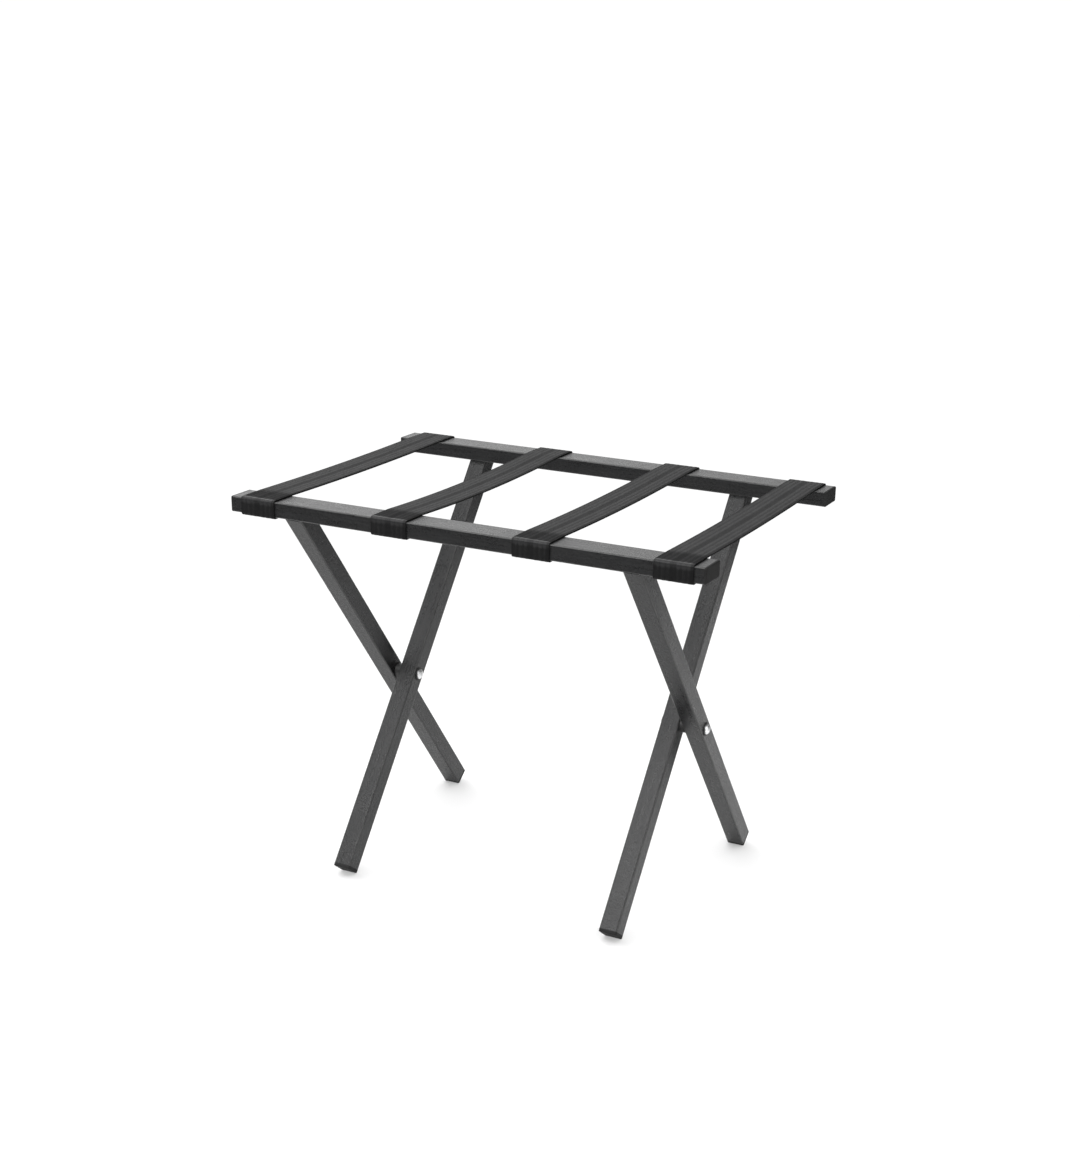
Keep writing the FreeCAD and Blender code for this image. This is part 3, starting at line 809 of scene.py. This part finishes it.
def studio_world():
    """White all round for the camera; what the pieces reflect is brightest on one side."""
    world = bpy.data.worlds.new("studio")
    world.use_nodes = True
    bpy.context.scene.world = world
    tree = world.node_tree
    tree.nodes.clear()
    place = tree.nodes.new("ShaderNodeTexCoord")
    facing = tree.nodes.new("ShaderNodeVectorMath")
    facing.operation = "DOT_PRODUCT"
    facing.inputs[1].default_value = BRIGHT_SIDE
    ramp = tree.nodes.new("ShaderNodeMapRange")
    ends = {"From Min": 0.32, "From Max": 1.0, "To Min": 0.10, "To Max": 1.95}
    for socket, value in ends.items():
        ramp.inputs[socket].default_value = value
    seen = tree.nodes.new("ShaderNodeLightPath")
    choose = tree.nodes.new("ShaderNodeMix")
    shine = tree.nodes.new("ShaderNodeBackground")
    out = tree.nodes.new("ShaderNodeOutputWorld")
    links = tree.links
    links.new(place.outputs["Generated"], facing.inputs[0])
    links.new(facing.outputs["Value"], ramp.inputs["Value"])
    # this Mix node's factor is its input 0, and its two values are 2 and 3
    links.new(seen.outputs["Is Camera Ray"], choose.inputs[0])
    links.new(ramp.outputs[0], choose.inputs[2])
    choose.inputs[3].default_value = SEEN_WHITE
    shine.inputs["Color"].default_value = (1, 1, 1, 1)
    links.new(choose.outputs[0], shine.inputs["Strength"])
    links.new(shine.outputs[0], out.inputs["Surface"])


def make_floor(settings):
    """A round sheet of white paper, far wider than the rack."""
    bpy.ops.object.select_all(action="DESELECT")
    bpy.ops.mesh.primitive_circle_add(vertices=128, radius=1.6, fill_type="NGON")
    floor = bpy.context.object
    floor.name = "floor"
    paper = Finish("floor_paper", Roughness=0.9, Specular_IOR_Level=0.1)
    mottle = paper.noise(paper.object_place(), 3, detail=2)
    colour = Vector(settings.floor)
    paper.paint(Base_Color=paper.mix(mottle, (*(colour * 0.995), 1), (*colour, 1)))
    give(paper, "floor")


def make_lights(settings):
    """A wide light from above, and two soft ones from the right and the front."""
    bpy.ops.object.light_add(type="SUN", location=(0, 0, 3))
    overhead = bpy.context.object
    overhead.name = "overhead"
    overhead.data.energy = settings.overhead
    overhead.data.angle = radians(90)
    overhead.rotation_euler = (radians(-8), radians(-8), 0)
    soft_light("side", 1.8, (2.1, -0.5, 0.9), (0, 0, 0.25), settings.side)
    soft_light(
        "front", 2.0, (-0.75, -2.1, 2.3), (0.1, -0.1, 0.1), settings.front, shape_y=1.6,
        shadow=False,
    )


def make_camera(settings):
    """The camera, placed by its angles and distance from its aim, with its roll and lens shift."""
    azimuth, elevation, roll = settings.azimuth, settings.elevation, settings.roll
    back = Vector(
        (sin(azimuth) * cos(elevation), -cos(azimuth) * cos(elevation), sin(elevation))
    )
    right = (-back).cross(Vector((0, 0, 1))).normalized()
    up = right.cross(-back)
    tilted_right = cos(roll) * right + sin(roll) * up
    tilted_up = -sin(roll) * right + cos(roll) * up
    bpy.ops.object.camera_add(location=Vector(settings.aim) + back * settings.distance)
    camera = bpy.context.object
    camera.data.lens = settings.lens
    camera.data.sensor_width = SENSOR_WIDTH
    camera.data.shift_x, camera.data.shift_y = settings.shift
    camera.data.clip_start = 0.05
    camera.rotation_mode = "QUATERNION"
    turn = Matrix((tilted_right, tilted_up, back)).transposed()
    camera.rotation_quaternion = turn.to_quaternion()
    bpy.context.scene.camera = camera


class RACK_OT_stage(bpy.types.Operator):
    """Make the floor, the lights, the world and the camera"""

    bl_idname = "rack.stage"
    bl_label = "Stage"

    def execute(self, context):
        settings = context.scene.rack_stage
        make_floor(settings)
        make_lights(settings)
        studio_world()
        make_camera(settings)
        context.scene.view_settings.view_transform = "Standard"
        context.scene.view_settings.look = "None"
        return {"FINISHED"}


# panel and registration


class RACK_PT_panel(bpy.types.Panel):
    """Steps that make the luggage rack"""

    bl_idname = "RACK_PT_panel"
    bl_label = "Luggage Rack"
    bl_space_type = "VIEW_3D"
    bl_region_type = "UI"
    bl_category = "Luggage Rack"

    def draw(self, context):
        for name in GROUPS:
            group = getattr(context.scene, name)
            column = self.layout.column()
            for setting in group.__annotations__:
                column.prop(group, setting)
        for step in STEPS:
            self.layout.operator(step.bl_idname)


STEPS = (
    RACK_OT_straps,
    RACK_OT_weld_beads,
    RACK_OT_coating,
    RACK_OT_plugs,
    RACK_OT_pivots,
    RACK_OT_strap_screws,
    RACK_OT_stage,
)
GROUPS = {"rack_webbing": RackWebbing, "rack_steel": RackSteel, "rack_stage": RackStage}


def register():
    """Add the classes and the scene's settings."""
    for kind in (*GROUPS.values(), *STEPS, RACK_PT_panel):
        bpy.utils.register_class(kind)
    for name, group in GROUPS.items():
        setattr(bpy.types.Scene, name, PointerProperty(type=group))


def unregister():
    """Take them away again."""
    for name in GROUPS:
        delattr(bpy.types.Scene, name)
    for kind in (RACK_PT_panel, *reversed(STEPS), *GROUPS.values()):
        bpy.utils.unregister_class(kind)


def main():
    """Make every piece and the stage."""
    register()
    bpy.ops.rack.straps()
    bpy.ops.rack.weld_beads()
    bpy.ops.rack.coating()
    bpy.ops.rack.plugs()
    bpy.ops.rack.pivots()
    bpy.ops.rack.strap_screws()
    bpy.ops.rack.stage()


if __name__ == "__main__":
    main()
